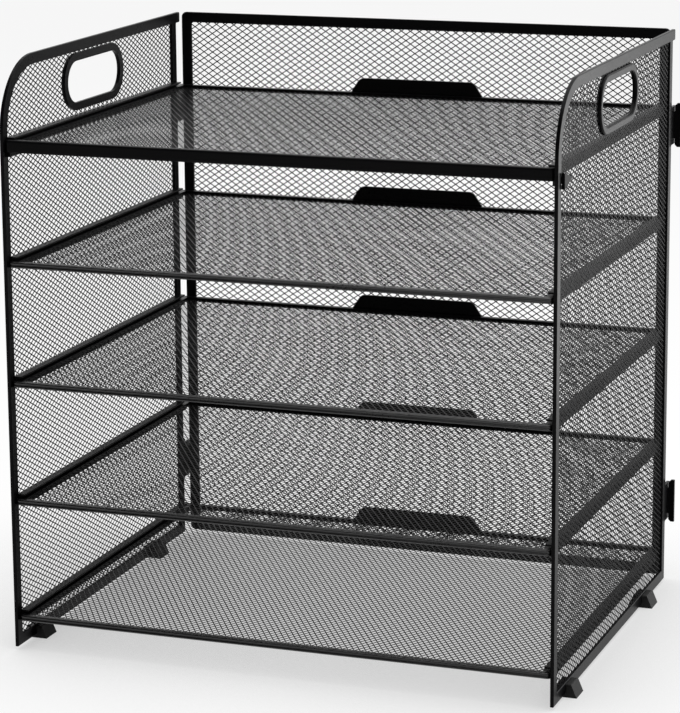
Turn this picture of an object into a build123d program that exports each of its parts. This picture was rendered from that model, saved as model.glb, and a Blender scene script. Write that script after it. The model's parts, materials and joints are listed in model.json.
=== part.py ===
"""Mesh paper organizer: two side panels, a back panel, a fixed top tray and four sliding trays.

Millimetres, +Z up, -Y to the front. The origin is on the surface that the feet stand on, in the middle.
"""

import os
from math import hypot

from build123d import *

os.makedirs("parts", exist_ok=True)

# Panels: flat bars round a sheet of expanded metal
outer_width = 304.0
panel_depth = 234.0
panel_height = 320.0
bar_width = 6.0
bar_thick = 2.0
bar_round = 0.4
front_top_radius = 39.0
corner_radius = 3.0
mesh_thick = 0.9

# Oblong hand hole at the top of each side panel
hand_hole_length = 70.0
hand_hole_height = 23.0
ring_width = 4.4
ring_drop = 0.8
ring_rise = 0.6
ring_round = 1.2

# Flared rubber feet that straddle the bottom bars
foot_drop = 2.0
foot_length = 13.0
foot_bottom_width = 14.0
foot_top_width = 8.0
foot_grip = 5.0
foot_round = 1.0
front_foot_inset = 29.0
rear_foot_inset = 46.0

# Back panel behind the side panels, with T tabs through the ears on their rear edges
back_gap = 1.0
back_step = 6.0
ear_reach = 11.0
ear_height = 21.6
ear_round = 1.0
top_ear_reach = 5.5
clip_thick = 1.6
clip_neck_height = 15.0
clip_neck_reach = 0.4
clip_head_height = 25.0
clip_head_length = 3.3
clip_flare = 1.3
slot_clearance = 0.3
upper_clip_level = 265.5
lower_clip_level = 45.2

# Trays
top_tray_level = 277.3
sliding_tray_count = 4
tray_pitch = 65.2
bottom_tray_level = 17.7
edge_width = 3.5
edge_height = 2.4
rim_depth = 3.5
rim_height = 3.2
top_rim_height = 6.7
top_rim_rise = 1.2
rim_round = 1.0
rim_corner_radius = 2.4
rim_setback = 0.5
floor_drop = 1.0
tray_back_reach = 2.0
tab_width = 80.0
tab_top_width = 69.0
tab_height = 8.2
tab_thick = 1.2
tab_radius = 4.5

# Channel runners on the side panels
runner_height = 6.0
runner_reach = 4.4
runner_wall = 1.0
runner_round = 0.3
runner_back_inset = 4.5
side_clearance = 0.5
run_clearance = 0.4

# Hooks that tie the top tray to the side panels
hook_plate_length = 14.0
hook_plate_height = 4.5
hook_plate_thick = 2.0
hook_tongue_inset = 4.0
hook_tongue_length = 5.0
hook_tongue_height = 3.5
hook_head_length = 15.0
hook_head_height = 8.3
hook_head_thick = 1.6
hook_head_gap = 0.5

# Diamond gaps in the mesh sheets, counted across and up or back
tray_net_counts = (16, 9)
side_net_counts = (9, 17)
back_net_counts = (11, 14)
gap_share = 0.8
net_margin = 1.0

# Places that follow from the sizes
front_y = -(panel_depth + ear_reach) / 2
rear_y = front_y + panel_depth
middle_y = (front_y + rear_y) / 2
base_z = foot_drop
top_z = base_z + panel_height
middle_z = base_z + panel_height / 2
inner_x = outer_width / 2 - bar_thick
panel_x = outer_width / 2 - bar_thick / 2
back_y = rear_y + back_step + bar_thick / 2
back_half_width = inner_x - back_gap
hand_hole_z = top_z - bar_width - ring_drop - ring_width - hand_hole_height / 2
rim_half_width = inner_x - side_clearance
rim_front_y = front_y + rim_setback
rim_back_y = rim_front_y + rim_depth
edge_outer_x = inner_x - runner_wall - side_clearance
edge_inner_x = edge_outer_x - edge_width
tray_back_y = rear_y + tray_back_reach
floor_back_y = tray_back_y - rim_depth
runner_front_y = rim_back_y + run_clearance
runner_back_y = rear_y - runner_back_inset
sliding_rows = reversed(range(sliding_tray_count))
sliding_levels = [base_z + bottom_tray_level + tray_pitch * row for row in sliding_rows]
tray_levels = [base_z + top_tray_level] + sliding_levels
runner_drop = edge_height + run_clearance + runner_wall
hook_top_z = tray_levels[0] - runner_drop
hook_tongue_y = rim_back_y + hook_tongue_inset + hook_tongue_length / 2
hook_tongue_z = hook_top_z - hook_plate_height / 2
clip_levels = {"upper": base_z + upper_clip_level, "lower": base_z + lower_clip_level}
sides = {"left": -1, "right": 1}


def save(piece, name):
    """Label a finished piece and write its STEP file."""
    piece.label = name
    export_step(piece, f"parts/{name}.step")


def diamond_gaps(width, height, counts, centre, inside):
    """Outlines of the staggered diamond gaps of a net that fills a field about its centre."""
    columns, rows = counts
    pitch_x = width / columns
    pitch_y = height / rows
    half_x = pitch_x * gap_share / 2
    half_y = pitch_y * gap_share / 2
    gaps = []
    for fewer in (0, 1):
        for column in range(columns - fewer):
            for row in range(rows - fewer):
                x = centre[0] + (column - (columns - fewer - 1) / 2) * pitch_x
                y = centre[1] + (row - (rows - fewer - 1) / 2) * pitch_y
                corners = [(x - half_x, y), (x, y + half_y), (x + half_x, y), (x, y - half_y)]
                if inside(corners):
                    gaps.append(Wire.make_polygon(corners, close=True))
    return gaps


def always(corners):
    """A plain rectangular net keeps every gap."""
    return True


def clear_of_box(corners, centre, half_width, half_height):
    """Whether a gap stays clear of an upright box in the plane of its net."""
    beside = min(abs(x - centre[0]) for x, y in corners) > half_width + net_margin
    above = min(abs(y - centre[1]) for x, y in corners) > half_height + net_margin
    return beside or above


def in_side_net(corners):
    """Whether a gap lies inside a side panel's mesh: off its round corner, hand hole and hook slot."""
    reach = front_top_radius - bar_width
    arc_y = front_y + front_top_radius
    arc_z = top_z - front_top_radius
    past_arc = [p for p in corners if p[0] < arc_y and p[1] > arc_z]
    if any(hypot(y - arc_y, z - arc_z) > reach - net_margin for y, z in past_arc):
        return False
    ring_half = (hand_hole_length / 2 + ring_width, hand_hole_height / 2 + ring_width)
    slot_half = (hook_tongue_length / 2 + slot_clearance, hook_tongue_height / 2 + slot_clearance)
    off_ring = clear_of_box(corners, (middle_y, hand_hole_z), *ring_half)
    return off_ring and clear_of_box(corners, (hook_tongue_y, hook_tongue_z), *slot_half)


def panel_outline(inset, plain_radius):
    """Side panel outline, in depth and height, set in from the outer edge."""
    with BuildSketch() as outline:
        with Locations((middle_y, middle_z)):
            Rectangle(panel_depth - 2 * inset, panel_height - 2 * inset)
        upper = outline.vertices().group_by(Axis.Y)[-1]
        front_top = upper.sort_by(Axis.X)[0]
        others = [vertex for vertex in outline.vertices() if vertex != front_top]
        fillet(front_top, front_top_radius - inset)
        if plain_radius:
            fillet(others, plain_radius)
    return outline.sketch.face()


def eared_outline():
    """Side panel outline with the ears that hold the back panel behind it."""
    with BuildSketch() as outline:
        add(panel_outline(0, corner_radius))
        with Locations(*[(rear_y - bar_width / 2, level) for level in clip_levels.values()]):
            Rectangle(bar_width / 2 + ear_reach, ear_height, align=(Align.MIN, Align.CENTER))
        with Locations((rear_y - bar_width / 2, top_z)):
            Rectangle(bar_width / 2 + top_ear_reach, bar_width, align=(Align.MIN, Align.MAX))
        behind = [vertex for vertex in outline.vertices() if vertex.X > rear_y - ear_round]
        fillet([vertex for vertex in behind if vertex.Y > base_z + 2 * corner_radius], ear_round)
    return outline.sketch.face()


def slot_outline(grow):
    """Hand hole outline, in depth and height, grown on all sides."""
    with BuildSketch() as outline:
        with Locations((middle_y, hand_hole_z)):
            SlotOverall(hand_hole_length + 2 * grow, hand_hole_height + 2 * grow)
    return outline.sketch.face()


def box_outline(centre, width, height):
    """Upright rectangle about a centre."""
    with BuildSketch() as outline:
        with Locations(centre):
            Rectangle(width, height)
    return outline.sketch.face()


# Side panels
panel_outer = eared_outline()
panel_inner = panel_outline(bar_width, 0)
ring_inner = slot_outline(0)
ring_outer = slot_outline(ring_width)
hook_slot = box_outline(
    (hook_tongue_y, hook_tongue_z),
    hook_tongue_length + 2 * slot_clearance,
    hook_tongue_height + 2 * slot_clearance,
)
side_gaps = diamond_gaps(
    panel_depth - 2 * bar_width,
    panel_height - 2 * bar_width,
    side_net_counts,
    (middle_y, middle_z),
    in_side_net,
)
side_net = Face(panel_inner.outer_wire(), [ring_outer.outer_wire(), hook_slot.outer_wire()] + side_gaps)

for side, sign in sides.items():
    side_plane = Plane.YZ.offset(sign * panel_x)

    with BuildPart() as side_frame:
        with BuildSketch(side_plane):
            add(panel_outer)
            add(panel_inner, mode=Mode.SUBTRACT)
        extrude(amount=bar_thick / 2, both=True)
        fillet(side_frame.edges().filter_by(Axis.X, reverse=True), bar_round)
        with BuildSketch(side_plane):
            with Locations(*[(back_y, level) for level in clip_levels.values()]):
                Rectangle(clip_thick + 2 * slot_clearance, clip_neck_height + 2 * slot_clearance)
        extrude(amount=bar_thick, both=True, mode=Mode.SUBTRACT)
    save(side_frame.part, f"side_frame_{side}")

    with BuildPart() as side_mesh:
        with BuildSketch(side_plane.offset(-mesh_thick / 2)):
            add(side_net)
        extrude(amount=mesh_thick)
    save(side_mesh.part, f"side_mesh_{side}")

    with BuildPart() as hand_ring:
        with BuildSketch(Plane.YZ.offset(sign * inner_x)):
            add(ring_outer)
            add(ring_inner, mode=Mode.SUBTRACT)
        extrude(amount=sign * (bar_thick + ring_rise))
        outward = [edge for edge in hand_ring.edges() if abs(edge.center().X) > outer_width / 2]
        fillet(outward, ring_round)
    save(hand_ring.part, f"hand_ring_{side}")

# Back panel
back_plane = Plane.XZ.offset(-back_y)
back_inner_width = 2 * (back_half_width - bar_width)
back_inner_height = panel_height - 2 * bar_width

with BuildPart() as back_frame:
    with BuildSketch(back_plane):
        with Locations((0, middle_z)):
            RectangleRounded(2 * back_half_width, panel_height, corner_radius)
            Rectangle(back_inner_width, back_inner_height, mode=Mode.SUBTRACT)
    extrude(amount=bar_thick / 2, both=True)
    fillet(back_frame.edges().filter_by(Axis.Y, reverse=True), bar_round)
save(back_frame.part, "back_frame")

back_outline = box_outline((0, middle_z), back_inner_width, back_inner_height)
back_gaps = diamond_gaps(back_inner_width, back_inner_height, back_net_counts, (0, middle_z), always)
back_net = Face(back_outline.outer_wire(), back_gaps)

with BuildPart() as back_mesh:
    with BuildSketch(back_plane.offset(-mesh_thick / 2)):
        add(back_net)
    extrude(amount=mesh_thick)
save(back_mesh.part, "back_mesh")

# Rear clips: a flat neck through the slot of an ear and a flared head outside it
neck_end = outer_width / 2 + clip_neck_reach
head_end = neck_end + clip_head_length
neck_half = clip_neck_height / 2
head_half = clip_head_height / 2

for side, sign in sides.items():
    for place, level in clip_levels.items():
        with BuildPart() as rear_clip:
            with BuildSketch(back_plane):
                with BuildLine():
                    Polyline(
                        (sign * back_half_width, level - neck_half),
                        (sign * neck_end, level - neck_half),
                        (sign * neck_end, level - head_half + clip_flare),
                        (sign * (neck_end + clip_flare), level - head_half),
                        (sign * head_end, level - head_half),
                        (sign * head_end, level + head_half),
                        (sign * (neck_end + clip_flare), level + head_half),
                        (sign * neck_end, level + head_half - clip_flare),
                        (sign * neck_end, level + neck_half),
                        (sign * back_half_width, level + neck_half),
                        close=True,
                    )
                make_face()
            extrude(amount=clip_thick / 2, both=True)
        save(rear_clip.part, f"rear_clip_{place}_{side}")

# Feet: a flared sleeve with a slot that the bottom bar stands in
foot_rows = {"front": front_y + front_foot_inset, "rear": rear_y - rear_foot_inset}
foot_height = foot_drop + foot_grip

for side, sign in sides.items():
    for place, foot_y in foot_rows.items():
        with BuildPart() as foot:
            with BuildSketch(Plane.XZ.offset(-foot_y)):
                with BuildLine():
                    Polyline(
                        (sign * panel_x - foot_bottom_width / 2, 0),
                        (sign * panel_x + foot_bottom_width / 2, 0),
                        (sign * panel_x + foot_top_width / 2, foot_height),
                        (sign * panel_x - foot_top_width / 2, foot_height),
                        close=True,
                    )
                make_face()
            extrude(amount=foot_length / 2, both=True)
            fillet(foot.edges().filter_by(Axis.Z, reverse=True).group_by(Axis.Z)[-1], foot_round)
            with BuildSketch(Plane.XZ.offset(-foot_y)):
                with Locations((sign * panel_x, foot_drop)):
                    Rectangle(bar_thick, foot_height, align=(Align.CENTER, Align.MIN))
            extrude(amount=foot_length, both=True, mode=Mode.SUBTRACT)
        save(foot.part, f"foot_{place}_{side}")

# Runners: a channel on each side panel that takes one edge of a tray
runner_length = runner_back_y - runner_front_y
runner_middle_y = (runner_front_y + runner_back_y) / 2

for number, level in enumerate(tray_levels, start=1):
    runner_z = level - runner_drop
    for side, sign in sides.items():
        with BuildPart() as runner:
            with BuildSketch(Plane.XZ.offset(-runner_middle_y)):
                with Locations((sign * (inner_x - runner_reach / 2), runner_z)):
                    Rectangle(runner_reach, runner_height, align=(Align.CENTER, Align.MIN))
                with Locations((sign * (inner_x - runner_wall - runner_reach / 2), runner_z + runner_wall)):
                    Rectangle(
                        runner_reach,
                        runner_height - 2 * runner_wall,
                        align=(Align.CENTER, Align.MIN),
                        mode=Mode.SUBTRACT,
                    )
            extrude(amount=runner_length / 2, both=True)
            lips = runner.edges().filter_by(Axis.Y).filter_by(
                lambda edge: abs(edge.center().X) < inner_x - runner_wall - runner_round
            )
            fillet(lips, runner_round)
        save(runner.part, f"runner_{number}_{side}")

# Trays: a mesh floor in four folded edges, with a stop tab on the back one
floor_width = 2 * edge_inner_x
floor_depth = floor_back_y - rim_back_y
floor_middle = (0, (floor_back_y + rim_back_y) / 2)
edge_length = tray_back_y - rim_back_y
edge_middle_y = (tray_back_y + rim_back_y) / 2
back_rim_middle_y = (tray_back_y + floor_back_y) / 2
floor_outline = box_outline(floor_middle, floor_width, floor_depth)
tray_gaps = diamond_gaps(floor_width, floor_depth, tray_net_counts, floor_middle, always)
tray_net = Face(floor_outline.outer_wire(), tray_gaps)

for number, level in enumerate(tray_levels, start=1):
    front_top = level + top_rim_rise if number == 1 else level
    front_height = top_rim_height if number == 1 else rim_height

    with BuildPart() as tray_mesh:
        with BuildSketch(Plane.XY.offset(level - floor_drop)):
            add(tray_net)
        extrude(amount=-mesh_thick)
    save(tray_mesh.part, f"tray_{number}_mesh")

    with BuildPart() as front_rim:
        with BuildSketch(Plane.XY.offset(front_top)) as plan:
            with Locations((0, (rim_front_y + rim_back_y) / 2)):
                Rectangle(2 * rim_half_width, rim_depth)
            fillet(plan.vertices().group_by(Axis.Y)[0], rim_corner_radius)
        extrude(amount=-front_height)
        fillet(front_rim.edges().filter_by(Axis.Z, reverse=True), rim_round)
    save(front_rim.part, f"tray_{number}_front_rim")

    with BuildPart() as back_rim:
        with BuildSketch(Plane.XY.offset(level)):
            with Locations((0, back_rim_middle_y)):
                Rectangle(floor_width, rim_depth)
        extrude(amount=-edge_height)
    save(back_rim.part, f"tray_{number}_back_rim")

    for side, sign in sides.items():
        with BuildPart() as side_edge:
            with BuildSketch(Plane.XY.offset(level)):
                with Locations((sign * (edge_inner_x + edge_width / 2), edge_middle_y)):
                    Rectangle(edge_width, edge_length)
            extrude(amount=-edge_height)
        save(side_edge.part, f"tray_{number}_{side}_edge")

    with BuildPart() as stop_tab:
        with BuildSketch(Plane.XZ.offset(-tray_back_y)) as face:
            with BuildLine():
                Polyline(
                    (-tab_width / 2, level),
                    (tab_width / 2, level),
                    (tab_top_width / 2, level + tab_height),
                    (-tab_top_width / 2, level + tab_height),
                    close=True,
                )
            make_face()
            fillet(face.vertices().group_by(Axis.Y)[-1], tab_radius)
        extrude(amount=tab_thick)
    save(stop_tab.part, f"tray_{number}_stop_tab")

# Hooks: a plate under the top tray's runner, a tongue through the mesh and a head outside it
hook_plate_y = rim_back_y + hook_plate_length / 2
hook_head_front_y = front_y + bar_width + hook_head_gap
hook_head_x = outer_width / 2

for side, sign in sides.items():
    with BuildPart() as top_hook:
        with BuildSketch(Plane.YZ.offset(sign * inner_x)):
            with Locations((hook_plate_y, hook_tongue_z)):
                Rectangle(hook_plate_length, hook_plate_height)
        extrude(amount=-sign * hook_plate_thick)
        with BuildSketch(Plane.YZ.offset(sign * inner_x)):
            with Locations((hook_tongue_y, hook_tongue_z)):
                Rectangle(hook_tongue_length, hook_tongue_height)
        extrude(amount=sign * bar_thick)
        with BuildSketch(Plane.YZ.offset(sign * hook_head_x)):
            with BuildLine():
                Polyline(
                    (hook_head_front_y, hook_tongue_z - hook_head_height / 2),
                    (hook_head_front_y + hook_head_length, hook_tongue_z),
                    (hook_head_front_y, hook_tongue_z + hook_head_height / 2),
                    close=True,
                )
            make_face()
        extrude(amount=sign * hook_head_thick)
    save(top_hook.part, f"top_hook_{side}")
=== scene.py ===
"""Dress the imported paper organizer: expanded metal, hemmed rims, black powder coat and a white studio."""

from __future__ import annotations

import json
import logging
from dataclasses import dataclass
from enum import Enum
from math import cos, radians, sin
from typing import Any, Callable, Mapping, Sequence

import bpy
import numpy as np
from mathutils import Matrix, Vector

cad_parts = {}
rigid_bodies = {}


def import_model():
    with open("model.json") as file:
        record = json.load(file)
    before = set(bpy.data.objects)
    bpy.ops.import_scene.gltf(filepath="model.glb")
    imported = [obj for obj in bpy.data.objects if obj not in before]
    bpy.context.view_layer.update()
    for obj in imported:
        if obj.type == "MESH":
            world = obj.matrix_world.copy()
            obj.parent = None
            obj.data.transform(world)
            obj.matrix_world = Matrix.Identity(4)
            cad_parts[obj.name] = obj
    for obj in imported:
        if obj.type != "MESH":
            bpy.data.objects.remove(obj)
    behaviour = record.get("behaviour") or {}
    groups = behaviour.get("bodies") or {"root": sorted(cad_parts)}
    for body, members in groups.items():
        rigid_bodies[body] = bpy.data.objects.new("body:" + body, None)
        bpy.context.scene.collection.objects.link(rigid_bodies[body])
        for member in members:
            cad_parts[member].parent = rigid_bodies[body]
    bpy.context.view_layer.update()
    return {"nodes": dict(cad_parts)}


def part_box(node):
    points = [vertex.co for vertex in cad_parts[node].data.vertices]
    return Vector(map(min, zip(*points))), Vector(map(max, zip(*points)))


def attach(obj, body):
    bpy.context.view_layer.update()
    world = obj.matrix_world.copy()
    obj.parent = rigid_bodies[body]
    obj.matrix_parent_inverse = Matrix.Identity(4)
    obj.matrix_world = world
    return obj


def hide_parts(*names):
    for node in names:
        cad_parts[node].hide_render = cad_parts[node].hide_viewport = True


log = logging.getLogger("organizer")

MM = 0.001
STAND = "stand"
TOP_TRAY = 1
TRAY_NUMBERS = range(TOP_TRAY, 6)
NOISE_MIDDLE = 0.5
QUAD = 4
HOLE_CORNERS = 4
SHEET_FACES = 2

Colour = tuple[float, float, float, float]
Region = Callable[[np.ndarray, np.ndarray], np.ndarray]

WHITE: Colour = (1.0, 1.0, 1.0, 1.0)


class Side(Enum):
    """The two sides of the organizer, with the sign of X."""

    LEFT = -1
    RIGHT = 1

    @property
    def word(self) -> str:
        """The side's name in the node names."""
        return self.name.lower()


class Value:
    """A socket of a shader whose arithmetic adds Math nodes."""

    def __init__(self, graph: Graph, socket: bpy.types.NodeSocket | None) -> None:
        """Keep the socket, if there is one, and the graph that it belongs to."""
        self.graph = graph
        self.socket = socket

    def _math(self, operation: str, first: Any, second: Any) -> Value:
        """Add one Math node.

        Args:
            operation: Blender's name of the operation.
            first: A value or number.
            second: A value or number.

        Returns:
            The result.
        """
        return self.graph.node("ShaderNodeMath", {"operation": operation}, {0: first, 1: second})

    def __add__(self, other: Any) -> Value:
        """Sum."""
        return self._math("ADD", self, other)

    def __radd__(self, other: Any) -> Value:
        """Sum with a number on the left."""
        return self._math("ADD", other, self)

    def __sub__(self, other: Any) -> Value:
        """Difference."""
        return self._math("SUBTRACT", self, other)

    def __rsub__(self, other: Any) -> Value:
        """Difference from a number on the left."""
        return self._math("SUBTRACT", other, self)

    def __mul__(self, other: Any) -> Value:
        """Product."""
        return self._math("MULTIPLY", self, other)

    def __rmul__(self, other: Any) -> Value:
        """Product with a number on the left."""
        return self._math("MULTIPLY", other, self)

    def either(self, other: Any) -> Value:
        """The larger of the two values."""
        return self._math("MAXIMUM", self, other)


class Graph:
    """A node tree under construction."""

    def __init__(self, tree: bpy.types.NodeTree) -> None:
        """Empty the tree.

        Args:
            tree: The node tree of a material or world.
        """
        self.tree = tree
        tree.nodes.clear()

    def node(
        self,
        kind: str,
        settings: Mapping[str, Any] | None = None,
        inputs: Mapping[str | int, Any] | None = None,
        output: str | int = 0,
    ) -> Value:
        """Add one node.

        Args:
            kind: Blender's type name of the node.
            settings: Attributes of the node, set first.
            inputs: A value, number or colour for each named or numbered socket.
            output: The output socket that is wanted.

        Returns:
            The wanted output, or no socket where the node has no outputs.
        """
        made = self.tree.nodes.new(kind)
        for name, setting in (settings or {}).items():
            setattr(made, name, setting)
        for name, given in (inputs or {}).items():
            if isinstance(given, Value):
                self.tree.links.new(given.socket, made.inputs[name])
            else:
                made.inputs[name].default_value = given
        return Value(self, made.outputs[output] if made.outputs else None)

    def noise(self, place: Value, scale: float, detail: float) -> Value:
        """Even noise between 0 and 1.

        Args:
            place: The coordinates.
            scale: Waves in a metre.
            detail: Octaves above the first.

        Returns:
            The noise.
        """
        return self.node("ShaderNodeTexNoise", {}, {"Vector": place, "Scale": scale, "Detail": detail})

    def blend(self, share: Value, first: Colour, second: Colour) -> Value:
        """Colour between two colours.

        Args:
            share: How much of the second colour.
            first: Colour at 0.
            second: Colour at 1.

        Returns:
            The mixed colour.
        """
        return self.node("ShaderNodeMix", {"data_type": "RGBA"}, {0: share, 6: first, 7: second}, 2)


@dataclass(frozen=True)
class Finish:
    """A coat or a moulded surface: its colour drifts a little, and a fine grain breaks its gloss."""

    name: str
    dark: Colour
    light: Colour
    roughness: float
    specular: float
    drift_scale: float = 22.0
    drift_detail: float = 3.0
    grain_scale: float = 950.0
    grain_detail: float = 2.0
    roughness_drift: float = 0.10
    roughness_grain: float = 0.12
    bump: float = 0.18
    bump_depth: float = 0.00012

    def material(self) -> bpy.types.Material:
        """Make the material.

        Returns:
            The material, which reads Object coordinates.
        """
        made = bpy.data.materials.new(self.name)
        made.use_nodes = True
        graph = Graph(made.node_tree)
        place = graph.node("ShaderNodeTexCoord", output="Object")
        drift = graph.noise(place, self.drift_scale, self.drift_detail)
        grain = graph.noise(place, self.grain_scale, self.grain_detail)
        roughness = (
            self.roughness
            + (drift - NOISE_MIDDLE) * self.roughness_drift
            + (grain - NOISE_MIDDLE) * self.roughness_grain
        )
        bump = graph.node(
            "ShaderNodeBump", {}, {"Strength": self.bump, "Distance": self.bump_depth, "Height": grain}
        )
        surface = graph.node(
            "ShaderNodeBsdfPrincipled",
            {},
            {
                "Base Color": graph.blend(drift, self.dark, self.light),
                "Roughness": roughness,
                "Specular IOR Level": self.specular,
                "Normal": bump,
            },
        )
        graph.node("ShaderNodeOutputMaterial", {}, {"Surface": surface})
        return made


COAT_DARK: Colour = (0.003, 0.003, 0.0033, 1.0)
BAR_LIGHT: Colour = (0.006, 0.006, 0.0065, 1.0)
MESH_LIGHT: Colour = (0.007, 0.007, 0.0075, 1.0)
BAR_COAT = Finish("bar_powder_coat", COAT_DARK, BAR_LIGHT, roughness=0.3, specular=0.05)
PANEL_MESH_COAT = Finish("panel_mesh_powder_coat", COAT_DARK, MESH_LIGHT, roughness=0.4, specular=0.03)
FLOOR_MESH_COAT = Finish("floor_mesh_powder_coat", COAT_DARK, MESH_LIGHT, roughness=0.34, specular=0.12)
RIM_COAT = Finish("rim_powder_coat", COAT_DARK, BAR_LIGHT, roughness=0.3, specular=0.8)
RUBBER = Finish(
    "foot_rubber",
    (0.008, 0.008, 0.008, 1.0),
    (0.015, 0.015, 0.015, 1.0),
    roughness=0.72,
    specular=0.3,
    grain_scale=1500.0,
    bump=0.3,
)


class Workshop:
    """Makes each finish once and turns arrays into pieces."""

    def __init__(self) -> None:
        """Start with no finishes made."""
        self._made: dict[str, bpy.types.Material] = {}

    def coat(self, piece: bpy.types.Object, finish: Finish) -> None:
        """Give a piece or CAD node its finish.

        Args:
            piece: The object.
            finish: The finish.
        """
        if finish.name not in self._made:
            self._made[finish.name] = finish.material()
        if piece.data.materials:
            for index in range(len(piece.data.materials)):
                piece.data.materials[index] = self._made[finish.name]
        else:
            piece.data.materials.append(self._made[finish.name])

    def piece(
        self,
        name: str,
        points: np.ndarray,
        faces: np.ndarray | Sequence[Sequence[int]],
        finish: Finish,
        body: str,
        node: str,
        smooth: bool = False,
    ) -> bpy.types.Object:
        """Make a piece that stands for one CAD node.

        Args:
            name: Name of the piece.
            points: Corners in millimetres, one row each.
            faces: Corner numbers of each face, anticlockwise seen from outside.
            finish: Its finish.
            body: The body that it rides on.
            node: The CAD node that it replaces.
            smooth: Whether the faces shade as one smooth surface.

        Returns:
            The object.
        """
        mesh = bpy.data.meshes.new(name)
        if isinstance(faces, np.ndarray):
            self._fill(mesh, points * MM, faces)
        else:
            mesh.from_pydata((points * MM).tolist(), [], [list(face) for face in faces])
        mesh.update(calc_edges=True)
        mesh.polygons.foreach_set("use_smooth", np.full(len(mesh.polygons), smooth))
        made = bpy.data.objects.new(name, mesh)
        bpy.context.scene.collection.objects.link(made)
        self.coat(made, finish)
        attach(made, body)
        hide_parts(node)
        log.info("%s: %d faces on %s", name, len(mesh.polygons), body)
        return made

    @staticmethod
    def _fill(mesh: bpy.types.Mesh, points: np.ndarray, quads: np.ndarray) -> None:
        """Put whole arrays of corners and four-sided faces into a mesh.

        Args:
            mesh: An empty mesh.
            points: Corners in metres.
            quads: Corner numbers, four to a row.
        """
        mesh.vertices.add(len(points))
        mesh.vertices.foreach_set("co", points.astype(np.float32).ravel())
        mesh.loops.add(quads.size)
        mesh.loops.foreach_set("vertex_index", quads.astype(np.int32).ravel())
        mesh.polygons.add(len(quads))
        mesh.polygons.foreach_set("loop_start", np.arange(0, quads.size, QUAD, dtype=np.int32))


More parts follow.
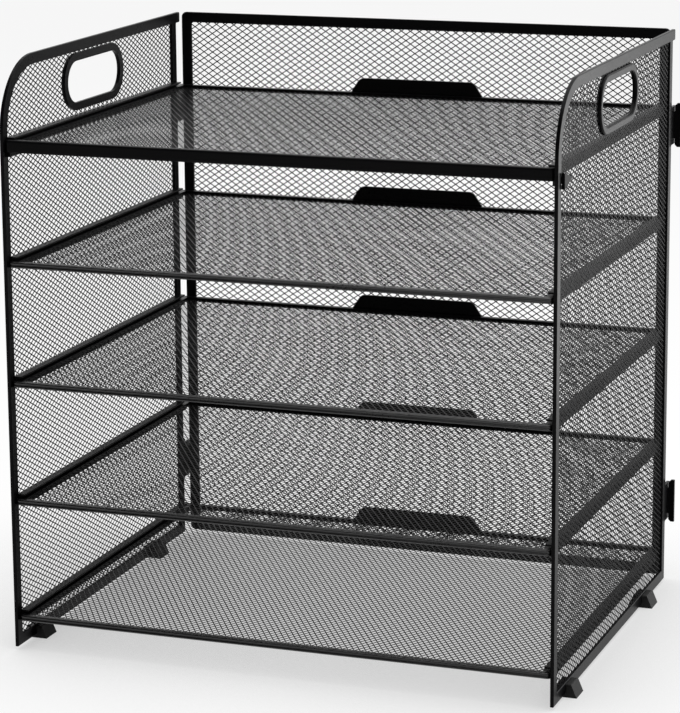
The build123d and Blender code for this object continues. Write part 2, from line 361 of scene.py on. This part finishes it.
@dataclass(frozen=True)
class ExpandedMetal:
    """A sheet of expanded metal, worked out on a chequerboard of half pitches.

    A hole lies on each even square and a knuckle on each odd one. Each hole is a diamond with four corners
    on two faces of the sheet. A strand is the band between two holes on squares that touch at a corner, and
    a knuckle is the diamond between four. The upper and lower corner of each hole stand a little out of the
    plane, one each way, which gives the strands the twist that the stretched metal has.
    """

    long_pitch: float
    short_pitch: float
    strand: float
    thick: float = 0.26
    twist: float = 0.06

    def hole(self) -> tuple[float, float]:
        """Half sizes of a hole: the full diamond, shrunk until the band between two is as wide as a strand.

        Returns:
            Half length and half width.
        """
        half_long, half_short = self.long_pitch / 2, self.short_pitch / 2
        reach = half_long * half_short / np.hypot(half_long, half_short)
        share = 1 - self.strand / (2 * reach)
        return half_long * share, half_short * share

    def sheet(
        self, low: tuple[float, float], high: tuple[float, float], inside: Region
    ) -> tuple[np.ndarray, np.ndarray]:
        """Work out the sheet.

        Args:
            low: Lowest long-way and short-way place to fill.
            high: Highest long-way and short-way place to fill.
            inside: Tells which places, long way and short way, the sheet covers.

        Returns:
            Corners (long way, short way, height from the middle of the sheet) and four-sided faces.
        """
        steps_u = int(np.ceil((high[0] - low[0]) / self.long_pitch)) * 2 + 3
        steps_v = int(np.ceil((high[1] - low[1]) / self.short_pitch)) * 2 + 3
        start_u = (low[0] + high[0] - (steps_u - 1) * self.long_pitch / 2) / 2
        start_v = (low[1] + high[1] - (steps_v - 1) * self.short_pitch / 2) / 2
        column, row = np.meshgrid(np.arange(steps_u), np.arange(steps_v), indexing="ij")
        centre_u = start_u + column * self.long_pitch / 2
        centre_v = start_v + row * self.short_pitch / 2

        points = self._corners(centre_u, centre_v)
        quads = self._bands(column, row, centre_u, centre_v, steps_v, inside)
        used, quads = np.unique(quads, return_inverse=True)
        return points[used], quads.reshape(-1, QUAD)

    def _corners(self, centre_u: np.ndarray, centre_v: np.ndarray) -> np.ndarray:
        """Corners of the hole on each square: right, top, left and bottom, each on the upper and lower face.

        Args:
            centre_u: Long-way places of the squares.
            centre_v: Short-way places of the squares.

        Returns:
            One row for each corner.
        """
        half_u, half_v = self.hole()
        offset_u = np.array([half_u, 0.0, -half_u, 0.0])
        offset_v = np.array([0.0, half_v, 0.0, -half_v])
        lift = np.array([0.0, -self.twist, 0.0, self.twist])
        face = np.array([self.thick / 2, -self.thick / 2])
        shape = (*centre_u.shape, HOLE_CORNERS, SHEET_FACES)
        u = np.broadcast_to((centre_u[..., None] + offset_u)[..., None], shape)
        v = np.broadcast_to((centre_v[..., None] + offset_v)[..., None], shape)
        w = np.broadcast_to(lift[:, None] + face, shape)
        return np.stack([u, v, w], axis=-1).reshape(-1, 3)

    def _bands(
        self,
        column: np.ndarray,
        row: np.ndarray,
        centre_u: np.ndarray,
        centre_v: np.ndarray,
        steps_v: int,
        inside: Region,
    ) -> np.ndarray:
        """Faces of the strands and knuckles that the sheet keeps.

        Args:
            column: Column of each square.
            row: Row of each square.
            centre_u: Long-way place of each square.
            centre_v: Short-way place of each square.
            steps_v: Squares in a column.
            inside: Tells which places the sheet covers.

        Returns:
            Corner numbers, four to a row.
        """

        def corner(i: np.ndarray, j: np.ndarray, which: int) -> np.ndarray:
            """Number of a hole's corner on the upper face; the lower one is the next number."""
            return ((i * steps_v + j) * HOLE_CORNERS + which) * SHEET_FACES

        right, top, left, bottom = range(HOLE_CORNERS)
        last_u, last_v = column.max(), row.max()
        knuckle_kept = ((column + row) % 2 == 1) & inside(centre_u, centre_v)
        knuckle_kept &= (column > 0) & (row > 0) & (column < last_u) & (row < last_v)
        ki, kj = column[knuckle_kept], row[knuckle_kept]
        rings = [
            np.stack(
                [
                    corner(ki - 1, kj, right),
                    corner(ki, kj - 1, top),
                    corner(ki + 1, kj, left),
                    corner(ki, kj + 1, bottom),
                ],
                axis=1,
            )
        ]
        walls = []
        holes = (column + row) % 2 == 0
        for way in (1, -1):
            can = holes & (row < last_v) & (column + way >= 0) & (column + way <= last_u)
            i, j = column[can], row[can]
            middle_u = centre_u[can] + way * self.long_pitch / 4
            middle_v = centre_v[can] + self.short_pitch / 4
            kept = inside(middle_u, middle_v)
            side_kept = knuckle_kept[i + way, j]
            top_kept = knuckle_kept[i, j + 1]
            near, far = (right, left) if way == 1 else (left, right)
            loop = [
                corner(i, j, near),
                corner(i + way, j + 1, bottom),
                corner(i + way, j + 1, far),
                corner(i, j, top),
            ]
            side_end, outer, top_end, inner = [(loop[n], loop[(n + 1) % QUAD]) for n in range(QUAD)]
            if way == -1:
                loop = loop[::-1]
                side_end, outer, top_end, inner = [edge[::-1] for edge in (side_end, outer, top_end, inner)]
            rings.append(np.stack(loop, axis=1)[kept])
            for (start, end), wanted in (
                (outer, kept),
                (inner, kept),
                (side_end, kept & ~side_kept),
                (top_end, kept & ~top_kept),
                (side_end[::-1], ~kept & side_kept),
                (top_end[::-1], ~kept & top_kept),
            ):
                walls.append(np.stack([start, start + 1, end + 1, end], axis=1)[wanted])
        upper = np.concatenate(rings)
        return np.concatenate([upper, upper[:, ::-1] + 1, *walls])


def in_box(low: tuple[float, float], high: tuple[float, float], past: float) -> Region:
    """Region of a plain rectangle, and a little past its edges.

    Args:
        low: Lowest corner.
        high: Highest corner.
        past: How far past the edges it reaches.

    Returns:
        The region.
    """

    def inside(u: np.ndarray, v: np.ndarray) -> np.ndarray:
        """Whether each place is in the rectangle."""
        across = (u > low[0] - past) & (u < high[0] + past)
        return across & (v > low[1] - past) & (v < high[1] + past)

    return inside


@dataclass
class SidePanel:
    """A side panel: flat bars, a sheet of expanded metal, a ringed hand hole, runners, feet and clips."""

    side: Side
    depth: float = 234.0
    bar: float = 6.0
    front_top_radius: float = 39.0
    hole_length: float = 70.0
    hole_height: float = 23.0
    ring: float = 4.4
    past: float = 2.6
    metal: ExpandedMetal = ExpandedMetal(long_pitch=5.90, short_pitch=3.08, strand=0.54)

    def covers(self, low: np.ndarray, high: np.ndarray, hole: np.ndarray) -> Region:
        """Region of the sheet: inside the bars' round-cornered opening, and outside the ring's middle line.

        Args:
            low: Lowest depth and height inside the bars.
            high: Highest depth and height inside the bars.
            hole: Depth and height of the middle of the hand hole.

        Returns:
            The region.
        """
        plain = in_box(tuple(low), tuple(high), self.past)
        radius = self.front_top_radius - self.bar
        arc_y, arc_z = low[0] + radius, high[1] - radius
        straight = (self.hole_length - self.hole_height) / 2

        def inside(y: np.ndarray, z: np.ndarray) -> np.ndarray:
            """Whether each place is on the sheet."""
            corner = (y < arc_y) & (z > arc_z)
            off_arc = ~corner | (np.hypot(y - arc_y, z - arc_z) < radius + self.past)
            along = np.maximum(np.abs(y - hole[0]) - straight, 0)
            slot = np.hypot(along, z - hole[1]) - self.hole_height / 2
            return plain(y, z) & off_arc & (slot > self.ring / 2)

        return inside

    def build(self, shop: Workshop) -> None:
        """Make the sheet of expanded metal.

        Args:
            shop: Where pieces are made.
        """
        word = self.side.word
        frame_low, frame_high = (np.array(c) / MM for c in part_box(f"side_frame_{word}"))
        ring_low, ring_high = (np.array(c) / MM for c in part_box(f"hand_ring_{word}"))
        low = frame_low[1:] + self.bar
        high = np.array([frame_low[1] + self.depth, frame_high[2]]) - self.bar
        inside = self.covers(low, high, (ring_low[1:] + ring_high[1:]) / 2)
        sheet, quads = self.metal.sheet(tuple(low - self.past), tuple(high + self.past), inside)
        x = (frame_low[0] + frame_high[0]) / 2 + sheet[:, 2]
        points = np.stack([x, sheet[:, 0], sheet[:, 1]], axis=1)
        shop.piece(f"side_expanded_metal_{word}", points, quads, PANEL_MESH_COAT, STAND, f"side_mesh_{word}")

    def dress(self, shop: Workshop, nodes: Mapping[str, bpy.types.Object]) -> None:
        """Coat the panel's CAD nodes.

        Args:
            shop: Where finishes are made.
            nodes: The CAD nodes by name.
        """
        word = self.side.word
        steel = [f"side_frame_{word}", f"hand_ring_{word}"]
        steel += [f"rear_clip_{place}_{word}" for place in ("upper", "lower")]
        steel += [f"runner_{number}_{word}" for number in TRAY_NUMBERS]
        for name in steel:
            shop.coat(nodes[name], BAR_COAT)
        shop.coat(nodes[f"top_hook_{word}"], PANEL_MESH_COAT)
        for place in ("front", "rear"):
            shop.coat(nodes[f"foot_{place}_{word}"], RUBBER)


@dataclass
class BackPanel:
    """The back panel: flat bars round a sheet of expanded metal."""

    bar: float = 6.0
    past: float = 2.6
    metal: ExpandedMetal = ExpandedMetal(long_pitch=5.52, short_pitch=3.69, strand=0.54)

    def build(self, shop: Workshop) -> None:
        """Make the sheet of expanded metal.

        Args:
            shop: Where pieces are made.
        """
        frame_low, frame_high = (np.array(c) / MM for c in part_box("back_frame"))
        low = np.array([frame_low[0], frame_low[2]]) + self.bar
        high = np.array([frame_high[0], frame_high[2]]) - self.bar
        inside = in_box(tuple(low), tuple(high), self.past)
        sheet, quads = self.metal.sheet(tuple(low - self.past), tuple(high + self.past), inside)
        y = (frame_low[1] + frame_high[1]) / 2 - sheet[:, 2]
        points = np.stack([sheet[:, 0], y, sheet[:, 1]], axis=1)
        shop.piece("back_expanded_metal", points, quads, PANEL_MESH_COAT, STAND, "back_mesh")

    def dress(self, shop: Workshop, nodes: Mapping[str, bpy.types.Object]) -> None:
        """Coat the panel's bars."""
        shop.coat(nodes["back_frame"], BAR_COAT)


@dataclass
class Tray:
    """One tray: a floor of expanded metal, a front rim, a back rim, two folded edges and a stop tab."""

    number: int
    past_side: float = 1.6
    past_front: float = 1.6
    hem_radius: float = 1.0
    groove: float = 0.6
    groove_height: float = 0.5
    corner_radius: float = 2.4
    corner_steps: int = 8
    arc_steps: int = 6
    front_steps: int = 9
    sharp_angle: float = 50.0
    metal: ExpandedMetal = ExpandedMetal(
        long_pitch=5.68, short_pitch=3.45, strand=0.58, thick=0.20, twist=0.03
    )

    @property
    def body(self) -> str:
        """The body that the tray rides on: the top tray is part of the stand."""
        return STAND if self.number == TOP_TRAY else f"tray_{self.number}"

    def name(self, piece: str) -> str:
        """Name of one of the tray's CAD nodes."""
        return f"tray_{self.number}_{piece}"

    def build(self, shop: Workshop) -> None:
        """Make the floor and the front rim.

        Args:
            shop: Where pieces are made.
        """
        self._floor(shop)
        self._rim(shop)

    def _floor(self, shop: Workshop) -> None:
        """Make the floor of expanded metal, its long way from front to back.

        Args:
            shop: Where pieces are made.
        """
        box_low, box_high = (np.array(c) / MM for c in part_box(self.name("mesh")))
        low = np.array([box_low[1] - self.past_front, box_low[0] - self.past_side])
        high = np.array([box_high[1] + self.past_front, box_high[0] + self.past_side])
        sheet, quads = self.metal.sheet(tuple(low), tuple(high), in_box(tuple(low), tuple(high), 0.0))
        z = (box_low[2] + box_high[2]) / 2 - sheet[:, 2]
        points = np.stack([sheet[:, 1], sheet[:, 0], z], axis=1)
        name, replaced = self.name("expanded_metal"), self.name("mesh")
        shop.piece(name, points, quads, FLOOR_MESH_COAT, self.body, replaced)

    def _rim(self, shop: Workshop) -> None:
        """Make the front rim: a round-cornered section, carried along X and drawn in at both ends.

        Near each end, the section's depth shrinks along the arc of the rim's corner in plan.

        Args:
            shop: Where pieces are made.
        """
        low, high = (np.array(c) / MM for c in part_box(self.name("front_rim")))
        section = self._section(low[1:], high[1:])
        arc = np.linspace(0, np.pi / 2, self.corner_steps)
        inset = self.corner_radius * (1 - np.cos(arc))
        drawn = self.corner_radius * (1 - np.sin(arc))
        x = np.concatenate([low[0] + inset, high[0] - inset[::-1]])
        depth = high[1] - low[1]
        share = 1 - np.concatenate([drawn, drawn[::-1]]) / depth
        y = high[1] + (section[None, :, 0] - high[1]) * share[:, None]
        z = np.broadcast_to(section[None, :, 1], y.shape)
        points = np.stack([np.broadcast_to(x[:, None], y.shape), y, z], axis=-1)
        stations, count = y.shape
        station, place = np.meshgrid(np.arange(stations - 1), np.arange(count), indexing="ij")
        after = (place + 1) % count
        sides = np.stack(
            [
                station * count + place,
                (station + 1) * count + place,
                (station + 1) * count + after,
                station * count + after,
            ],
            axis=-1,
        ).reshape(-1, 4)
        ends = [list(range(count)), list(range((stations - 1) * count, stations * count))[::-1]]
        made = shop.piece(
            self.name("hemmed_rim"),
            points.reshape(-1, 3),
            [*sides.tolist(), *ends],
            BAR_COAT if self.number == TOP_TRAY else RIM_COAT,
            self.body,
            self.name("front_rim"),
            smooth=True,
        )
        made.data.set_sharp_from_angle(angle=radians(self.sharp_angle))

    def _section(self, low: np.ndarray, high: np.ndarray) -> np.ndarray:
        """The rim's section in depth and height, clockwise seen from +X.

        It is a rectangle whose front corners are rounded. A bell-shaped groove presses its front in, but not
        on the top tray, whose front is plain.

        Args:
            low: Lowest depth and height.
            high: Highest depth and height.

        Returns:
            One row for each point.
        """
        radius = self.hem_radius
        turn = np.linspace(0, np.pi / 2, self.arc_steps)
        arc_depth, arc_height = radius * (1 - np.sin(turn)), radius * (1 - np.cos(turn))
        front = np.linspace(low[1] + radius, high[1] - radius, self.front_steps)
        middle = (low[1] + high[1]) / 2
        depth = 0.0 if self.number == TOP_TRAY else self.groove
        pressed = low[0] + depth * np.exp(-(((front - middle) / self.groove_height) ** 2))
        bottom = np.stack([low[0] + arc_depth, low[1] + arc_height], axis=1)
        rising = np.stack([pressed, front], axis=1)
        top = np.stack([low[0] + arc_depth, high[1] - arc_height], axis=1)[::-1]
        back = np.array([[high[0], high[1]], [high[0], low[1]]])
        return np.concatenate([bottom[:-1], rising, top[1:], back])

    def dress(self, shop: Workshop, nodes: Mapping[str, bpy.types.Object]) -> None:
        """Coat the tray's CAD nodes.

        Args:
            shop: Where finishes are made.
            nodes: The CAD nodes by name.
        """
        for piece in ("back_rim", "left_edge", "right_edge", "stop_tab"):
            shop.coat(nodes[self.name(piece)], BAR_COAT)


@dataclass
class Lamp:
    """A square soft box that points at the organizer."""

    name: str
    place: tuple[float, float, float]
    size: float
    watts: float
    aim: tuple[float, float, float] = (0.0, 0.0, 0.16)

    def build(self) -> None:
        """Add the lamp."""
        data = bpy.data.lights.new(self.name, "AREA")
        data.shape = "SQUARE"
        data.size = self.size
        data.energy = self.watts
        lamp = bpy.data.objects.new(self.name, data)
        lamp.location = self.place
        lamp.visible_camera = False
        lamp.rotation_euler = (Vector(self.aim) - Vector(self.place)).to_track_quat("-Z", "Y").to_euler()
        bpy.context.scene.collection.objects.link(lamp)


@dataclass
class Studio:
    """A white room: floor, sky, soft boxes and the photograph's camera."""

    floor_half: float = 6.0
    floor_colour: Colour = (0.8, 0.8, 0.8, 1.0)
    floor_matte: float = 0.12
    floor_shadow: float = 0.5
    shadow_reach: float = 0.15
    shadow_samples: int = 8
    ambient_front: float = 0.03
    ambient_back: float = 1.0
    sky_front: float = -0.3
    sky_back: float = 0.7
    lamps: tuple[Lamp, ...] = (
        Lamp("overhead_box", (0.1, 0.1, 1.6), 1.6, 22.0),
        Lamp("right_box", (1.5, 0.6, 0.9), 1.0, 13.0),
        Lamp("right_card", (0.43, 0.5, 0.15), 0.3, 0.6, (0.15, -0.05, 0.12)),
    )
    image: tuple[float, float] = (680.0, 713.0)
    sensor: float = 36.0
    azimuth: float = 20.116
    elevation: float = 12.288
    roll: float = -0.4235
    distance: float = 1.64377
    focal_pixels: float = 2975.2
    target: tuple[float, float, float] = (-0.008612, -0.0055, 0.171299)
    centre_offset: tuple[float, float] = (-6.0, -40.0)

    def build(self) -> None:
        """Add all of it."""
        self._floor()
        self._sky()
        for lamp in self.lamps:
            lamp.build()
        self._camera()
        bpy.context.scene.view_settings.view_transform = "Standard"

    def _floor(self) -> None:
        """A pale floor that shows white to the camera and keeps the organizer's shadow.

        The white glow is dimmed by how much of the sky the organizer hides, near and under it, which is a
        painted shadow, and a share of plain matte floor takes the real shadows of the lamps.
        """
        half = self.floor_half
        mesh = bpy.data.meshes.new("studio_floor")
        corners = [(-half, -half, 0), (half, -half, 0), (half, half, 0), (-half, half, 0)]
        mesh.from_pydata(corners, [], [(0, 1, 2, 3)])
        floor = bpy.data.objects.new("studio_floor", mesh)
        bpy.context.scene.collection.objects.link(floor)
        made = bpy.data.materials.new("floor_white")
        made.use_nodes = True
        graph = Graph(made.node_tree)
        matte = graph.node("ShaderNodeBsdfDiffuse", {}, {"Color": self.floor_colour})
        clear = graph.node(
            "ShaderNodeAmbientOcclusion",
            {"samples": self.shadow_samples},
            {"Distance": self.shadow_reach},
            "AO",
        )
        # painted shadow: the emitted white darkens where ambient occlusion finds the organizer near or above
        strength = (1.0 - self.floor_shadow) + clear * self.floor_shadow
        white = graph.node("ShaderNodeEmission", {}, {"Color": WHITE, "Strength": strength})
        shown = self._seen(graph) * (1.0 - self.floor_matte)
        mixed = graph.node("ShaderNodeMixShader", {}, {0: shown, 1: matte, 2: white})
        graph.node("ShaderNodeOutputMaterial", {}, {"Surface": mixed})
        mesh.materials.append(made)

    @staticmethod
    def _seen(graph: Graph) -> Value:
        """1 for the rays that show the background: from the camera, in gloss and through glass.

        Args:
            graph: The shader that asks.

        Returns:
            0 or 1.
        """
        camera = graph.node("ShaderNodeLightPath", output="Is Camera Ray")
        gloss = graph.node("ShaderNodeLightPath", output="Is Glossy Ray")
        through = graph.node("ShaderNodeLightPath", output="Is Transmission Ray")
        return camera.either(gloss).either(through)

    def _sky(self) -> None:
        """A sky that is white to the eye, and lights the organizer more from behind than from the front."""
        world = bpy.data.worlds.new("studio_sky")
        world.use_nodes = True
        graph = Graph(world.node_tree)
        way = graph.node("ShaderNodeTexCoord", output="Generated")
        back = graph.node("ShaderNodeSeparateXYZ", {}, {0: way}, "Y")
        share = graph.node(
            "ShaderNodeMapRange",
            {"clamp": True, "interpolation_type": "SMOOTHSTEP"},
            {0: back, 1: self.sky_front, 2: self.sky_back, 3: self.ambient_front, 4: self.ambient_back},
        )
        light = graph.node("ShaderNodeBackground", {}, {"Color": WHITE, "Strength": share})
        white = graph.node("ShaderNodeBackground", {}, {"Color": WHITE, "Strength": 1.0})
        camera = graph.node("ShaderNodeLightPath", output="Is Camera Ray")
        through = graph.node("ShaderNodeLightPath", output="Is Transmission Ray")
        mixed = graph.node("ShaderNodeMixShader", {}, {0: camera.either(through), 1: light, 2: white})
        graph.node("ShaderNodeOutputWorld", {}, {"Surface": mixed})
        bpy.context.scene.world = world

    def _camera(self) -> None:
        """Set the camera where the photograph was taken from.

        It stands at the distance from the target, turned from the front by the azimuth and raised by the
        elevation, looks at the target and is rolled about its own axis. The shift moves the picture's centre.
        """
        azimuth, elevation = radians(self.azimuth), radians(self.elevation)
        back = Vector((sin(azimuth) * cos(elevation), -cos(azimuth) * cos(elevation), sin(elevation)))
        data = bpy.data.cameras.new("photo_camera")
        long_side = max(self.image)
        data.sensor_width = self.sensor
        data.lens = self.focal_pixels * self.sensor / long_side
        data.shift_x = -self.centre_offset[0] / long_side
        data.shift_y = self.centre_offset[1] / long_side
        camera = bpy.data.objects.new("photo_camera", data)
        look = (-back).to_track_quat("-Z", "Y").to_matrix().to_4x4()
        turn = look @ Matrix.Rotation(radians(self.roll), 4, "Z")
        camera.matrix_world = Matrix.Translation(Vector(self.target) + back * self.distance) @ turn
        bpy.context.scene.collection.objects.link(camera)
        bpy.context.scene.camera = camera


def main() -> None:
    """Build the organizer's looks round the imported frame."""
    logging.basicConfig(level=logging.INFO, format="%(name)s %(message)s")
    for old in list(bpy.data.objects):
        bpy.data.objects.remove(old)
    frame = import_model()
    shop = Workshop()
    assemblies: list[SidePanel | BackPanel | Tray] = [SidePanel(side) for side in Side]
    assemblies.append(BackPanel())
    assemblies += [Tray(number) for number in TRAY_NUMBERS]
    for assembly in assemblies:
        assembly.build(shop)
        assembly.dress(shop, frame["nodes"])
    Studio().build()
    bpy.context.view_layer.update()


if __name__ == "__main__":
    main()
